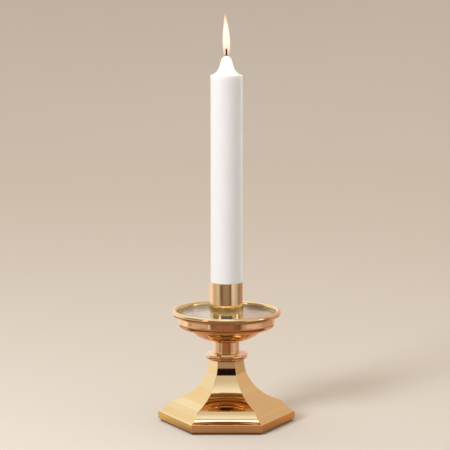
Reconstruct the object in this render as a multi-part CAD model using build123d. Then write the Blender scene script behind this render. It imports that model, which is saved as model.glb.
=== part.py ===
"""Altar candlestick: hexagonal cast base, knop, neck, drip pan and candle socket, with its candle.

Units are millimetres. +Z is up, and the origin is the centre of the underside that rests on the altar.
The base's flat sides face +Y and -Y, and two of its corners lie on the X axis.
"""

import os
from math import cos, radians, sqrt

from build123d import *

# ---- Driving dimensions ----

# Candle: the standard 1 1/2 inch by 12 inch altar candle
CANDLE_RADIUS = 19.05
CANDLE_LENGTH = 304.8
TIP_HEIGHT = 23.0
TIP_TOP_RADIUS = 6.4
TIP_ROOT_RADIUS = 8.3
TIP_ROOT_HEIGHT = 10.6
SHOULDER_EDGE_RADIUS = 0.8
CANDLE_FOOT_CHAMFER = 1.2
WICK_RADIUS = 1.0
WICK_EXPOSED = 9.2

# Flame
FLAME_GAP = 0.5
FLAME_HEIGHT = 49.5
FLAME_BASE_RADIUS = 1.9
FLAME_RADIUS = 4.2
FLAME_WIDEST = 0.30
FLAME_TIP_RADIUS = 0.4
FLAME_FOOT_DIRECTION = (1, 1.2)
FLAME_TIP_DIRECTION = (-0.06, 1)

# Base casting (apothems are half of the width across flats)
SIDES = 6
FELT_THICKNESS = 3.0
FELT_INSET = 2.5
PLINTH_APOTHEM = 72.0
PLINTH_TOP = 12.0
CAVETTO_TOP = 25.2
CAVETTO_TOP_APOTHEM = 58.7
CAVETTO_RADIUS = 23.5
FLARE_TOP_APOTHEM = 18.3
BASE_TOP = 77.0
BASE_WALL = 4.0
FOOT_WALL = 8.0
SEAT_THICKNESS = 15.0
RIB_ROUNDING = 0.9
RIB_SLOPE = 0.2
EDGE_ROUNDING = 0.6

# Knop and neck
KNOP_RADIUS = 25.75
KNOP_UNDERSIDE_RADIUS = 22.4
KNOP_BAND_BOTTOM = 4.6
KNOP_BAND_TOP = 5.9
KNOP_EDGE_RADIUS = 0.8
KNOP_HEIGHT = 7.9
NECK_RADIUS = 15.8
NECK_LENGTH = 15.4
NECK_COVE = 0.9
NECK_STEP = 0.2
NECK_BORE_RADIUS = 11.0
REGISTER_HEIGHT = 2.0
REGISTER_CLEARANCE = 0.05

# Bowl under the pan, the pan's drum and the pan
CUP_FOOT_RADIUS = 16.8
CUP_RADIUS = 45.0
CUP_BELLY_RADIUS = 32.5
CUP_BELLY_HEIGHT = 4.2
CUP_HEIGHT = 15.2
CUP_WALL = 3.2
HUB_RADIUS = 12.0
DRUM_RADIUS = 58.6
DRUM_CORNER_RADIUS = 7.0
DRUM_FLANGE_BORE = 39.0
DRUM_HEIGHT = 13.7
SHEET = 1.8
PAN_FLOOR_RADIUS = 59.8
PAN_RADIUS = 66.0
BEAD_RADIUS = 3.2
BEAD_RISE = 2.9
PAN_COVE = 1.2

# Socket
SOCKET_RADIUS = 20.35
SOCKET_BORE_CLEARANCE = 0.10
PLUG_THICKNESS = 5.9
TUBE_LENGTH = 40.3
WASHER_RADIUS = 12.0
WASHER_BORE = 7.0
WASHER_THICKNESS = 1.0
WASHER_CLEARANCE = 0.3
SOCKET_EDGE = 0.3

# Tie rod and its fastenings: 3/8-16 thread, drawn at its major diameter
THREAD_RADIUS = 4.7625
THREAD_CLEARANCE = 0.05
ROD_HOLE_RADIUS = 5.2
ROD_TOP_GAP = 0.5
ROD_TAIL = 3.0
ROD_CHAMFER = 0.8
NUT_ACROSS_FLATS = 14.29
NUT_THICKNESS = 8.33
LOCK_WASHER_RADIUS = 8.6
LOCK_WASHER_THICKNESS = 2.4
LOCK_WASHER_GAP = 1.8
FLAT_WASHER_RADIUS = 12.5
FLAT_WASHER_THICKNESS = 1.6

# ---- Heights that follow from them ----

KNOP_BOTTOM = BASE_TOP
NECK_BOTTOM = KNOP_BOTTOM + KNOP_HEIGHT
CUP_BOTTOM = NECK_BOTTOM + NECK_LENGTH
DRUM_BOTTOM = CUP_BOTTOM + CUP_HEIGHT
PAN_BOTTOM = DRUM_BOTTOM + DRUM_HEIGHT
PAN_FLOOR = PAN_BOTTOM + SHEET
SOCKET_SEAT = PAN_FLOOR + PLUG_THICKNESS
TUBE_TOP = PAN_FLOOR + TUBE_LENGTH
CANDLE_TOP = SOCKET_SEAT + CANDLE_LENGTH
SHOULDER = CANDLE_TOP - TIP_HEIGHT
SEAT_UNDERSIDE = BASE_TOP - SEAT_THICKNESS
SOCKET_BORE = CANDLE_RADIUS + SOCKET_BORE_CLEARANCE
TAPPED_RADIUS = THREAD_RADIUS + THREAD_CLEARANCE
SPIGOT_RADIUS = NECK_BORE_RADIUS - REGISTER_CLEARANCE


def outline(plane, pieces):
    """The face inside a closed outline of lines and arcs, drawn in a plane's own two directions."""
    edges = [plane * edge for piece in pieces for edge in piece.edges()]
    return make_face(edges)


def turned(*pieces):
    """A solid of revolution about Z from an outline of (radius, height) points."""
    return revolve(outline(Plane.XZ, pieces), Axis.Z)


def ring(inner, outer, bottom, top):
    """A plain turned ring."""
    height = top - bottom
    blank = extrude(Plane.XY.offset(bottom) * Circle(outer), height)
    return blank - extrude(Plane.XY.offset(bottom) * Circle(inner), height)


def six_sided(*pieces, rounded_heights=()):
    """A hexagonal solid whose flats all follow one half outline of (apothem, height) points.

    The outline and its mirror image make a long bar, and three such bars, 60 degrees apart,
    have the hexagonal solid in common. The outline's outer corners at the given heights are rounded.
    """
    half = outline(Plane.YZ, pieces)
    for height in rounded_heights:
        corner = half.vertices().filter_by(lambda vertex: abs(vertex.Z - height) < EDGE_ROUNDING / 2)
        half = fillet(corner.sort_by(Axis.Y)[-1], EDGE_ROUNDING)
    whole = half + mirror(half, Plane.XZ)
    bar = extrude(whole, 2 * PLINTH_APOTHEM, dir=(1, 0, 0), both=True)
    solid = bar
    for turn in range(1, SIDES // 2):
        solid = solid & (Rot(Z=turn * 360 / SIDES) * bar)
    return solid


def hexagon(apothem, rounding):
    """A hexagon with corners on the X axis and rounded corners."""
    outline = RegularPolygon(apothem / cos(radians(180 / SIDES)), SIDES)
    return fillet(outline.vertices(), rounding)


def arc_x(centre, radius, height):
    """The apothem, on the axis side of an arc's centre, where the arc passes a height."""
    return centre[0] - sqrt(radius**2 - (centre[1] - height) ** 2)


def flare_centre():
    """The centre of the flare's arc, which is upright at the flare's top."""
    rise = BASE_TOP - CAVETTO_TOP
    run = CAVETTO_TOP_APOTHEM - FLARE_TOP_APOTHEM
    radius = (run**2 + rise**2) / (2 * run)
    return (FLARE_TOP_APOTHEM + radius, BASE_TOP), radius


def cavetto_centre():
    """The centre of the cavetto's arc, from its two ends and its radius."""
    top = Vector(CAVETTO_TOP_APOTHEM, CAVETTO_TOP)
    edge = Vector(PLINTH_APOTHEM, PLINTH_TOP)
    chord = edge - top
    middle = (top + edge) / 2
    outward = Vector(-chord.Y, chord.X).normalized()
    centre = middle + outward * sqrt(CAVETTO_RADIUS**2 - (chord.length / 2) ** 2)
    return (centre.X, centre.Y)


def arc_between(centre, radius, low, high):
    """The stretch of an arc, on the axis side of its centre, between two heights."""
    middle = (low + high) / 2
    points = [(arc_x(centre, radius, height), height) for height in (low, middle, high)]
    return ThreePointArc(*points)


def base_casting():
    flare, flare_radius = flare_centre()
    cavetto = cavetto_centre()
    outside = six_sided(
        Polyline((0, BASE_TOP), (0, FELT_THICKNESS), (PLINTH_APOTHEM, FELT_THICKNESS),
                 (PLINTH_APOTHEM, PLINTH_TOP)),
        arc_between(cavetto, CAVETTO_RADIUS, PLINTH_TOP, CAVETTO_TOP),
        arc_between(flare, flare_radius, CAVETTO_TOP, BASE_TOP),
        Line((FLARE_TOP_APOTHEM, BASE_TOP), (0, BASE_TOP)),
        rounded_heights=(PLINTH_TOP, CAVETTO_TOP),
    )
    ribs = [edge for edge in outside.edges() if abs(edge.tangent_at(0.5).Z) > RIB_SLOPE]
    outside = fillet(ribs, RIB_ROUNDING)
    inner_flare = flare_radius + BASE_WALL
    inner_cavetto = CAVETTO_RADIUS + BASE_WALL
    turn_height = CAVETTO_TOP - BASE_WALL
    floor_apothem = PLINTH_APOTHEM - FOOT_WALL
    step = PLINTH_TOP - BASE_WALL / 2
    cavity = six_sided(
        Polyline((0, SEAT_UNDERSIDE), (0, FELT_THICKNESS), (floor_apothem, FELT_THICKNESS),
                 (floor_apothem, step), (arc_x(cavetto, inner_cavetto, step), step)),
        arc_between(cavetto, inner_cavetto, step, turn_height),
        Line((arc_x(cavetto, inner_cavetto, turn_height), turn_height),
             (arc_x(flare, inner_flare, turn_height), turn_height)),
        arc_between(flare, inner_flare, turn_height, SEAT_UNDERSIDE),
        Line((arc_x(flare, inner_flare, SEAT_UNDERSIDE), SEAT_UNDERSIDE), (0, SEAT_UNDERSIDE)),
    )
    rod_hole = extrude(Circle(ROD_HOLE_RADIUS), BASE_TOP)
    return outside - cavity - rod_hole


def felt_pad():
    return extrude(hexagon(PLINTH_APOTHEM - FELT_INSET, FELT_INSET), FELT_THICKNESS)


def knop_ring():
    """A moulded disc with a nearly level top and an upright edge, rounded underneath."""
    underside = (KNOP_UNDERSIDE_RADIUS, KNOP_BOTTOM)
    band_low = (KNOP_RADIUS, KNOP_BOTTOM + KNOP_BAND_BOTTOM)
    band_high = (KNOP_RADIUS, KNOP_BOTTOM + KNOP_BAND_TOP)
    edge = (KNOP_RADIUS - KNOP_EDGE_RADIUS, band_high[1] + KNOP_EDGE_RADIUS)
    seat = (NECK_RADIUS + NECK_COVE, NECK_BOTTOM)
    spigot_top = NECK_BOTTOM + REGISTER_HEIGHT
    return turned(
        Polyline((ROD_HOLE_RADIUS, spigot_top), (ROD_HOLE_RADIUS, KNOP_BOTTOM), underside),
        TangentArc(band_low, underside, tangent=(0, -1)),
        Line(band_low, band_high),
        CenterArc((edge[0], band_high[1]), KNOP_EDGE_RADIUS, 0, 90),
        Polyline(edge, seat, (SPIGOT_RADIUS, NECK_BOTTOM), (SPIGOT_RADIUS, spigot_top),
                 (ROD_HOLE_RADIUS, spigot_top)),
    )


def neck_spool():
    """A short tube with a small cove at each end."""
    flange = NECK_RADIUS + NECK_COVE
    low = NECK_BOTTOM + NECK_STEP
    high = CUP_BOTTOM - NECK_STEP
    return turned(
        Polyline((NECK_BORE_RADIUS, CUP_BOTTOM), (NECK_BORE_RADIUS, NECK_BOTTOM), (flange, NECK_BOTTOM),
                 (flange, low)),
        CenterArc((flange, low + NECK_COVE), NECK_COVE, 180, 90),
        Line((NECK_RADIUS, low + NECK_COVE), (NECK_RADIUS, high - NECK_COVE)),
        CenterArc((flange, high - NECK_COVE), NECK_COVE, 90, 90),
        Polyline((flange, high), (flange, CUP_BOTTOM), (NECK_BORE_RADIUS, CUP_BOTTOM)),
    )


def pan_cup():
    """The bowl that carries the pan: a thin wall round a tapped hub, which screws down the neck and base."""
    foot = (CUP_FOOT_RADIUS, CUP_BOTTOM)
    belly = (CUP_BELLY_RADIUS, CUP_BOTTOM + CUP_BELLY_HEIGHT)
    rim = (CUP_RADIUS, DRUM_BOTTOM)
    inner_foot = (CUP_FOOT_RADIUS, CUP_BOTTOM + CUP_WALL)
    inner_belly = (CUP_BELLY_RADIUS - CUP_WALL / 2, belly[1] + CUP_WALL)
    inner_rim = (CUP_RADIUS - CUP_WALL, DRUM_BOTTOM)
    return turned(
        Polyline((TAPPED_RADIUS, PAN_BOTTOM), (TAPPED_RADIUS, CUP_BOTTOM - REGISTER_HEIGHT),
                 (SPIGOT_RADIUS, CUP_BOTTOM - REGISTER_HEIGHT), (SPIGOT_RADIUS, CUP_BOTTOM), foot),
        ThreePointArc(foot, belly, rim),
        Line(rim, inner_rim),
        ThreePointArc(inner_rim, inner_belly, inner_foot),
        Polyline(inner_foot, (HUB_RADIUS, inner_foot[1]), (HUB_RADIUS, PAN_BOTTOM), (TAPPED_RADIUS, PAN_BOTTOM)),
    )


def pan_drum():
    """The spun skirt under the pan, with a rounded lower corner and a flange that sits on the bowl."""
    corner = (DRUM_RADIUS - DRUM_CORNER_RADIUS, DRUM_BOTTOM + DRUM_CORNER_RADIUS)
    inner_radius = DRUM_CORNER_RADIUS - SHEET
    inner = DRUM_RADIUS - SHEET
    return turned(
        Line((DRUM_FLANGE_BORE, DRUM_BOTTOM), (corner[0], DRUM_BOTTOM)),
        CenterArc(corner, DRUM_CORNER_RADIUS, -90, 90),
        Polyline((DRUM_RADIUS, corner[1]), (DRUM_RADIUS, PAN_BOTTOM), (inner, PAN_BOTTOM), (inner, corner[1])),
        CenterArc(corner, inner_radius, -90, 90),
        Polyline((corner[0], DRUM_BOTTOM + SHEET), (DRUM_FLANGE_BORE, DRUM_BOTTOM + SHEET),
                 (DRUM_FLANGE_BORE, DRUM_BOTTOM)),
    )


def drip_pan():
    """The shallow pan: a level floor and a rim rolled into a bead."""
    bead_centre = (PAN_RADIUS - BEAD_RADIUS, PAN_FLOOR + BEAD_RISE)
    floor = Polygon(
        (ROD_HOLE_RADIUS, PAN_BOTTOM), (PAN_FLOOR_RADIUS, PAN_BOTTOM), (bead_centre[0], bead_centre[1] - BEAD_RADIUS),
        bead_centre, (PAN_FLOOR_RADIUS + PAN_COVE, PAN_FLOOR + PAN_COVE), (PAN_FLOOR_RADIUS, PAN_FLOOR),
        (ROD_HOLE_RADIUS, PAN_FLOOR), align=None,
    )
    section = floor + Pos(*bead_centre) * Circle(BEAD_RADIUS)
    return revolve(Plane.XZ * section, Axis.Z)


def socket_plug():
    """The tapped plug that closes the socket's tube, with a recess for the washer under it."""
    recess = WASHER_RADIUS + WASHER_CLEARANCE
    recess_top = PAN_FLOOR + WASHER_THICKNESS
    return turned(
        Polyline((SOCKET_BORE, SOCKET_SEAT), (TAPPED_RADIUS, SOCKET_SEAT), (TAPPED_RADIUS, recess_top),
                 (recess, recess_top), (recess, PAN_FLOOR), (SOCKET_BORE, PAN_FLOOR), (SOCKET_BORE, SOCKET_SEAT)),
    )


def socket_washer():
    return ring(WASHER_BORE, WASHER_RADIUS, PAN_FLOOR, PAN_FLOOR + WASHER_THICKNESS)


def socket_tube():
    tube = ring(SOCKET_BORE, SOCKET_RADIUS, PAN_FLOOR, TUBE_TOP)
    mouth = tube.edges().group_by(Axis.Z)[-1]
    return fillet(mouth, SOCKET_EDGE)


def tie_rod_bottom():
    stack = FLAT_WASHER_THICKNESS + LOCK_WASHER_THICKNESS + NUT_THICKNESS
    return SEAT_UNDERSIDE - stack - ROD_TAIL


def tie_rod():
    bottom = tie_rod_bottom()
    rod = extrude(Plane.XY.offset(bottom) * Circle(THREAD_RADIUS), SOCKET_SEAT - ROD_TOP_GAP - bottom)
    ends = rod.edges().filter_by(GeomType.CIRCLE)
    return chamfer(ends, ROD_CHAMFER)


def flat_washer():
    return ring(ROD_HOLE_RADIUS, FLAT_WASHER_RADIUS, SEAT_UNDERSIDE - FLAT_WASHER_THICKNESS, SEAT_UNDERSIDE)


def lock_washer():
    """A split spring washer, drawn pressed flat."""
    top = SEAT_UNDERSIDE - FLAT_WASHER_THICKNESS
    whole = ring(ROD_HOLE_RADIUS, LOCK_WASHER_RADIUS, top - LOCK_WASHER_THICKNESS, top)
    gap = Pos(LOCK_WASHER_RADIUS, 0, top) * Box(2 * LOCK_WASHER_RADIUS, LOCK_WASHER_GAP, 2 * LOCK_WASHER_THICKNESS)
    return whole - gap


def base_nut():
    top = SEAT_UNDERSIDE - FLAT_WASHER_THICKNESS - LOCK_WASHER_THICKNESS
    corner = NUT_ACROSS_FLATS / 2 / cos(radians(180 / SIDES))
    prism = extrude(Plane.XY.offset(top - NUT_THICKNESS) * RegularPolygon(corner, SIDES), NUT_THICKNESS)
    blank = extrude(Plane.XY.offset(top - NUT_THICKNESS) * Circle(corner), NUT_THICKNESS)
    crown = (corner - NUT_ACROSS_FLATS / 2) / 2
    blank = chamfer(blank.edges().filter_by(GeomType.CIRCLE).group_by(Axis.Z)[0], crown)
    hole = extrude(Plane.XY.offset(top - NUT_THICKNESS) * Circle(TAPPED_RADIUS), NUT_THICKNESS)
    return (prism & blank) - hole


def candle_wax():
    """The candle: a plain stick with a concave shoulder up to a slim, round-topped tip."""
    shoulder = (CANDLE_RADIUS - SHOULDER_EDGE_RADIUS, SHOULDER + SHOULDER_EDGE_RADIUS)
    root = (TIP_ROOT_RADIUS, SHOULDER + TIP_ROOT_HEIGHT)
    dome = (TIP_TOP_RADIUS, CANDLE_TOP - TIP_TOP_RADIUS)
    foot = (CANDLE_RADIUS, SOCKET_SEAT + CANDLE_FOOT_CHAMFER)
    top = (WICK_RADIUS, CANDLE_TOP - TIP_TOP_RADIUS + sqrt(TIP_TOP_RADIUS**2 - WICK_RADIUS**2))
    dome_middle = TIP_TOP_RADIUS * cos(radians(45))
    return turned(
        Polyline(top, (WICK_RADIUS, SOCKET_SEAT), (CANDLE_RADIUS - CANDLE_FOOT_CHAMFER, SOCKET_SEAT), foot,
                 (CANDLE_RADIUS, SHOULDER)),
        ThreePointArc((CANDLE_RADIUS, SHOULDER),
                      (CANDLE_RADIUS - SHOULDER_EDGE_RADIUS * (1 - cos(radians(45))),
                       SHOULDER + SHOULDER_EDGE_RADIUS * cos(radians(45))), shoulder),
        TangentArc(root, shoulder, tangent=(TIP_TOP_RADIUS - TIP_ROOT_RADIUS, -TIP_ROOT_HEIGHT)),
        Line(root, dome),
        ThreePointArc(dome, (dome_middle, CANDLE_TOP - TIP_TOP_RADIUS + dome_middle), top),
    )


def candle_wick():
    height = CANDLE_LENGTH + WICK_EXPOSED
    return extrude(Plane.XY.offset(SOCKET_SEAT) * Circle(WICK_RADIUS), height)


def candle_flame():
    """A tall pointed flame that stands round the wick."""
    bottom = CANDLE_TOP + FLAME_GAP
    widest = bottom + FLAME_WIDEST * FLAME_HEIGHT
    top = bottom + FLAME_HEIGHT
    wick_top = CANDLE_TOP + WICK_EXPOSED
    return turned(
        Line((WICK_RADIUS, bottom), (FLAME_BASE_RADIUS, bottom)),
        Spline((FLAME_BASE_RADIUS, bottom), (FLAME_RADIUS, widest), (FLAME_TIP_RADIUS, top),
               tangents=[FLAME_FOOT_DIRECTION, FLAME_TIP_DIRECTION]),
        Polyline((FLAME_TIP_RADIUS, top), (0, top), (0, wick_top), (WICK_RADIUS, wick_top), (WICK_RADIUS, bottom)),
    )


PIECES = {
    "base_casting": base_casting,
    "felt_pad": felt_pad,
    "knop_ring": knop_ring,
    "neck_spool": neck_spool,
    "pan_cup": pan_cup,
    "pan_drum": pan_drum,
    "drip_pan": drip_pan,
    "tie_rod": tie_rod,
    "flat_washer": flat_washer,
    "lock_washer": lock_washer,
    "base_nut": base_nut,
    "socket_washer": socket_washer,
    "socket_plug": socket_plug,
    "socket_tube": socket_tube,
    "candle_wax": candle_wax,
    "candle_wick": candle_wick,
    "candle_flame": candle_flame,
}

os.makedirs("parts", exist_ok=True)
for name, build in PIECES.items():
    export_step(build(), f"parts/{name}.step")
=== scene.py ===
"""The looks of an altar candlestick: polished brass, a satin drip pan, a wax candle and its flame.

Everything is in metres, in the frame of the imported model: +Z up, with the origin under the middle of the
base. Outlines are in millimetres.
"""

from math import acos, asin, atan2, ceil, cos, degrees, pi, radians, sin, sqrt

import bmesh
import bpy
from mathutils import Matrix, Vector


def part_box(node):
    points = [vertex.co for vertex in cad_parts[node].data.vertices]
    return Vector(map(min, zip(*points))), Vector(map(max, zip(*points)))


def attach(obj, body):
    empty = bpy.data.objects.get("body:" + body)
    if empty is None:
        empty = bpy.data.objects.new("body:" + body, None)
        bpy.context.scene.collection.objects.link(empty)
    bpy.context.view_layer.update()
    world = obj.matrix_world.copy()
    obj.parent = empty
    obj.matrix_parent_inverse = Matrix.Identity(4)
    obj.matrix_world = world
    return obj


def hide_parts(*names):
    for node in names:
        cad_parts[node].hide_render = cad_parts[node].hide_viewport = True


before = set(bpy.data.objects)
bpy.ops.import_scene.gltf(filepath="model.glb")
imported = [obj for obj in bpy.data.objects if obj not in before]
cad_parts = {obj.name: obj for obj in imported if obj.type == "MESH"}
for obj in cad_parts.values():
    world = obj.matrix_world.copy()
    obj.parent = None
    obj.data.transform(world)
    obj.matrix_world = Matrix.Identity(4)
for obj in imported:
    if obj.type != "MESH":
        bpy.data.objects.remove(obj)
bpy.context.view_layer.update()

MM = 0.001

# ---- Sizes that the frame's boxes don't give, in millimetres ----

# The base has a plinth, a cavetto and a flare. An apothem is the distance from the axis to a hexagon's side.
SIDES = 6
PLINTH_TOP = 12.0
CAVETTO_TOP = 25.2
CAVETTO_TOP_APOTHEM = 58.7
CAVETTO_RADIUS = 23.5
FLARE_TOP_APOTHEM = 18.3
BASE_WALL = 4.0
FOOT_WALL = 8.0
SEAT_THICKNESS = 15.0
RIB_ROUNDING = 0.9
EDGE_ROUNDING = 0.45
ROD_HOLE = 5.2

# The knop's heights are from its underside
KNOP_UNDERSIDE = 22.4
KNOP_BAND = (4.6, 5.9)
KNOP_EDGE = 0.8
KNOP_HEIGHT = 7.9
NECK_COVE = 0.9
NECK_STEP = 0.2
NECK_BORE = 11.0

# The cup's belly is a distance from the axis and a height over the cup's foot
CUP_FOOT = 16.8
CUP_HEIGHT = 15.2
CUP_BELLY = (32.5, 4.2)
CUP_WALL = 3.2
HUB = 12.0
TAPPED = 4.8
DRUM_CORNER = 7.0
DRUM_FLANGE = 39.0
SHEET = 1.8

# The pan's cove is an arc through three points, each out from the floor's edge and up, in parts of its size
PAN_FLOOR_RADIUS = 59.8
PAN_COVE = 1.2
PAN_COVE_POINTS = [(0.55, 0.5), (0.2, 0.12), (-0.2, 0.0)]
BEAD = 3.2
BEAD_RISE = 2.9
BEAD_END = 222

# The washer's recess in the plug is a radius and a depth
TUBE_EDGE = 0.3
WASHER_RECESS = (12.3, 1.0)

# The flank deepens by THREAD_FLANK times the thread's depth over a pitch, and THREAD_CREST flattens the crest
THREAD_PITCH = 25.4 / 16
THREAD_DEPTH = 0.9
THREAD_FLANK = 2.2
THREAD_CREST = 0.1
THREAD_STEPS = 8
ROD_CHAMFER = 0.8
ROD_SEGMENTS = 48

# The candle's tip has a hollow curve from its shoulder to its root, then a cone, then an end of radius
# TIP_TOP. The root is a distance from the axis and a height over the shoulder. TIP_END is in degrees.
CANDLE_FOOT = 1.2
TIP_HEIGHT = 23.0
TIP_TOP = 6.4
TIP_ROOT = (8.3, 10.6)
TIP_END = 89.5
CONE_STEPS = 5
SHOULDER_EDGE = 0.8
CAP_RADIUS = 0.05

# The wick tapers over its last WICK_TAPER, to WICK_END of its width. WICK_LOBE is how far its strands bulge.
WICK_SHOWN = 9.2
WICK_BURIED = 4.0
WICK_STRANDS = 3
WICK_TWIST = 1.1
WICK_LOBE = 0.12
WICK_BEND = -0.25
WICK_TAPER = 1.5
WICK_END = 0.35
WICK_SEGMENTS = 36
WICK_STEPS = 40

# The flame's height over the candle, its lean to the side and its radius
FLAME = [
    (0.5, 0.0, 1.2), (0.9, 0.0, 2.7), (2.6, 0.0, 3.25), (5.6, 0.0, 3.75), (11.1, -0.1, 4.2),
    (16.5, -0.25, 4.38), (22.0, -0.4, 4.2), (29.5, -0.6, 3.55), (35.7, -0.95, 2.6),
    (41.1, -1.25, 1.8), (46.0, -1.6, 1.05), (49.2, -2.0, 0.4), (50.0, -2.1, 0.15),
]
FLAME_SEGMENTS = 48


# ---- Outlines, as rows of (distance from the axis, height) ----

def arc(centre, radius, start, end, steps):
    """Points along an arc, with its angles in degrees."""
    angles = [radians(start + (end - start) * i / steps) for i in range(steps + 1)]
    return [(centre[0] + radius * cos(a), centre[1] + radius * sin(a)) for a in angles]


def arc_through(first, middle, last, steps):
    """Points along the arc through three points."""
    (ax, ay), (bx, by), (cx, cy) = first, middle, last
    cross = 2 * (ax * (by - cy) + bx * (cy - ay) + cx * (ay - by))
    sa, sb, sc = ax * ax + ay * ay, bx * bx + by * by, cx * cx + cy * cy
    centre = ((sa * (by - cy) + sb * (cy - ay) + sc * (ay - by)) / cross,
              (sa * (cx - bx) + sb * (ax - cx) + sc * (bx - ax)) / cross)
    angles = [degrees(atan2(y - centre[1], x - centre[0])) for x, y in (first, middle, last)]
    sweep = (angles[2] - angles[0]) % 360
    if (angles[1] - angles[0]) % 360 > sweep:
        sweep -= 360
    radius = sqrt((ax - centre[0]) ** 2 + (ay - centre[1]) ** 2)
    return arc(centre, radius, angles[0], angles[0] + sweep, steps)


def softened(outline, corner, reach, steps=4):
    """The outline with one of its corners rounded, from a little before it to a little after it."""
    points = [Vector(point) for point in outline]
    here = Vector(corner)
    at = min(range(len(points)), key=lambda i: (points[i] - here).length)
    before = max(i for i in range(at) if (points[i] - here).length > reach)
    after = min(i for i in range(at + 1, len(points)) if (points[i] - here).length > reach)
    start = here + (points[before] - here).normalized() * reach
    end = here + (points[after] - here).normalized() * reach
    shares = [i / steps for i in range(steps + 1)]
    curve = [tuple(start * (1 - t) ** 2 + here * 2 * t * (1 - t) + end * t * t) for t in shares]
    return outline[:before + 1] + curve + outline[after:]


def spaced(outline, longest):
    """The closed outline with its long straight runs divided."""
    points = []
    for start, end in zip(outline, outline[1:] + outline[:1]):
        pieces = max(1, ceil((Vector(end) - Vector(start)).length / longest))
        points += [tuple(Vector(start).lerp(Vector(end), i / pieces)) for i in range(pieces)]
    return points


# ---- Meshes ----

SHARP = radians(30)
SEGMENTS = 192
PLAIN_SEGMENTS = 128
CORNER_STEPS = 5


def finished(name, bm):
    """Turns a bmesh into a shown object with smooth shading, crisp corners and outward faces."""
    bmesh.ops.recalc_face_normals(bm, faces=bm.faces)
    mesh = bpy.data.meshes.new(name)
    bm.to_mesh(mesh)
    bm.free()
    mesh.shade_smooth()
    mesh.set_sharp_from_angle(angle=SHARP)
    piece = bpy.data.objects.new(name, mesh)
    bpy.context.collection.objects.link(piece)
    weighted = piece.modifiers.new("weighted_normals", "WEIGHTED_NORMAL")
    weighted.keep_sharp = True
    return piece


def skin(name, rings, hollow=True):
    """A closed mesh through rings of points. A hollow one joins its last ring to its first, and a solid one
    has a cap at each end."""
    bm = bmesh.new()
    loops = [[bm.verts.new([c * MM for c in point]) for point in ring] for ring in rings]
    count = len(rings[0])
    pairs = list(zip(loops, loops[1:]))
    if hollow:
        pairs.append((loops[-1], loops[0]))
    else:
        bm.faces.new(loops[0])
        bm.faces.new(loops[-1])
    for low, high in pairs:
        for i in range(count):
            j = (i + 1) % count
            bm.faces.new((low[i], low[j], high[j], high[i]))
    return finished(name, bm)


def circle(radius, z, segments=SEGMENTS, x=0.0):
    turns = [2 * pi * i / segments for i in range(segments)]
    return [(x + radius * cos(turn), radius * sin(turn), z) for turn in turns]


def turned(name, outline):
    """A turned ring from a closed outline."""
    return skin(name, [circle(r, z) for r, z in outline])


def hexagon(apothem, rounding, z):
    """One level of a hexagon with rounded corners. With its rounding equal to its apothem, it is a circle."""
    points = []
    reach = (apothem - rounding) / cos(pi / SIDES)
    for corner in range(SIDES):
        heading = corner * 2 * pi / SIDES
        for step in range(CORNER_STEPS + 1):
            angle = heading + (step / CORNER_STEPS - 0.5) * 2 * pi / SIDES
            points.append((reach * cos(heading) + rounding * cos(angle),
                           reach * sin(heading) + rounding * sin(angle), z))
    return points


# ---- Node trees ----

def add(tree, kind, inputs=None, **settings):
    """Adds a node, sets its properties, then sets or links its inputs by name or number."""
    made = tree.nodes.new(kind)
    for name, value in settings.items():
        setattr(made, name, value)
    for key, value in (inputs or {}).items():
        if isinstance(value, bpy.types.NodeSocket):
            tree.links.new(value, made.inputs[key])
        else:
            made.inputs[key].default_value = value
    return made


def maths(tree, operation, *values):
    """The result of one math node."""
    return add(tree, "ShaderNodeMath", dict(enumerate(values)), operation=operation).outputs[0]


RISING = (0.0, 1.0)
FALLING = (1.0, 0.0)


def remap(tree, value, source, target=RISING, smooth=True):
    """A value moved from one range to another and held inside it."""
    kind = "SMOOTHSTEP" if smooth else "LINEAR"
    inputs = {"Value": value, "From Min": source[0], "From Max": source[1],
              "To Min": target[0], "To Max": target[1]}
    return add(tree, "ShaderNodeMapRange", inputs, interpolation_type=kind).outputs["Result"]


def mixed(tree, factor, first, second, blend="MIX"):
    """A mix of two colours."""
    node = add(tree, "ShaderNodeMix", data_type="RGBA", blend_type=blend)
    for key, value in (("Factor", factor), ("A", first), ("B", second)):
        socket = next(s for s in node.inputs if s.name == key and s.enabled)
        if isinstance(value, bpy.types.NodeSocket):
            tree.links.new(value, socket)
        else:
            socket.default_value = value
    return next(s for s in node.outputs if s.enabled)


def ramp(tree, value, stops):
    """A colour ramp from (position, colour) stops."""
    node = add(tree, "ShaderNodeValToRGB", {"Fac": value})
    elements = node.color_ramp.elements
    elements[0].position, elements[0].color = stops[0]
    elements[1].position, elements[1].color = stops[-1]
    for position, colour in stops[1:-1]:
        elements.new(position).color = colour
    return node.outputs["Color"]


def rgb(red, green, blue):
    return (red, green, blue, 1.0)


def grey(value):
    return rgb(value, value, value)


def separated(tree, vector):
    """A vector's X, Y and Z."""
    return add(tree, "ShaderNodeSeparateXYZ", {0: vector}).outputs


# ---- Camera, fitted to the photograph's view ----

CAMERA_DISTANCE = 2.001
CAMERA_HEIGHT = 0.5038
CAMERA_SIDE = -0.0018
CAMERA_TILT = radians(7.51)
CAMERA_LENS = 134.64
SENSOR = 36.0


def camera():
    data = bpy.data.cameras.new("camera")
    data.sensor_width = SENSOR
    data.lens = CAMERA_LENS
    holder = bpy.data.objects.new("camera", data)
    holder.location = (CAMERA_SIDE, -CAMERA_DISTANCE, CAMERA_HEIGHT)
    holder.rotation_euler = (pi / 2 - CAMERA_TILT, 0, 0)
    bpy.context.collection.objects.link(holder)
    bpy.context.scene.camera = holder
    bpy.context.scene.view_settings.view_transform = "Standard"


# ---- Studio ----
# The brass mirrors soft walls that stand round the candlestick, in bands of height. A wall is given by the
# heading where it starts, in degrees from the front and positive to the right, and its colour.

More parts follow.
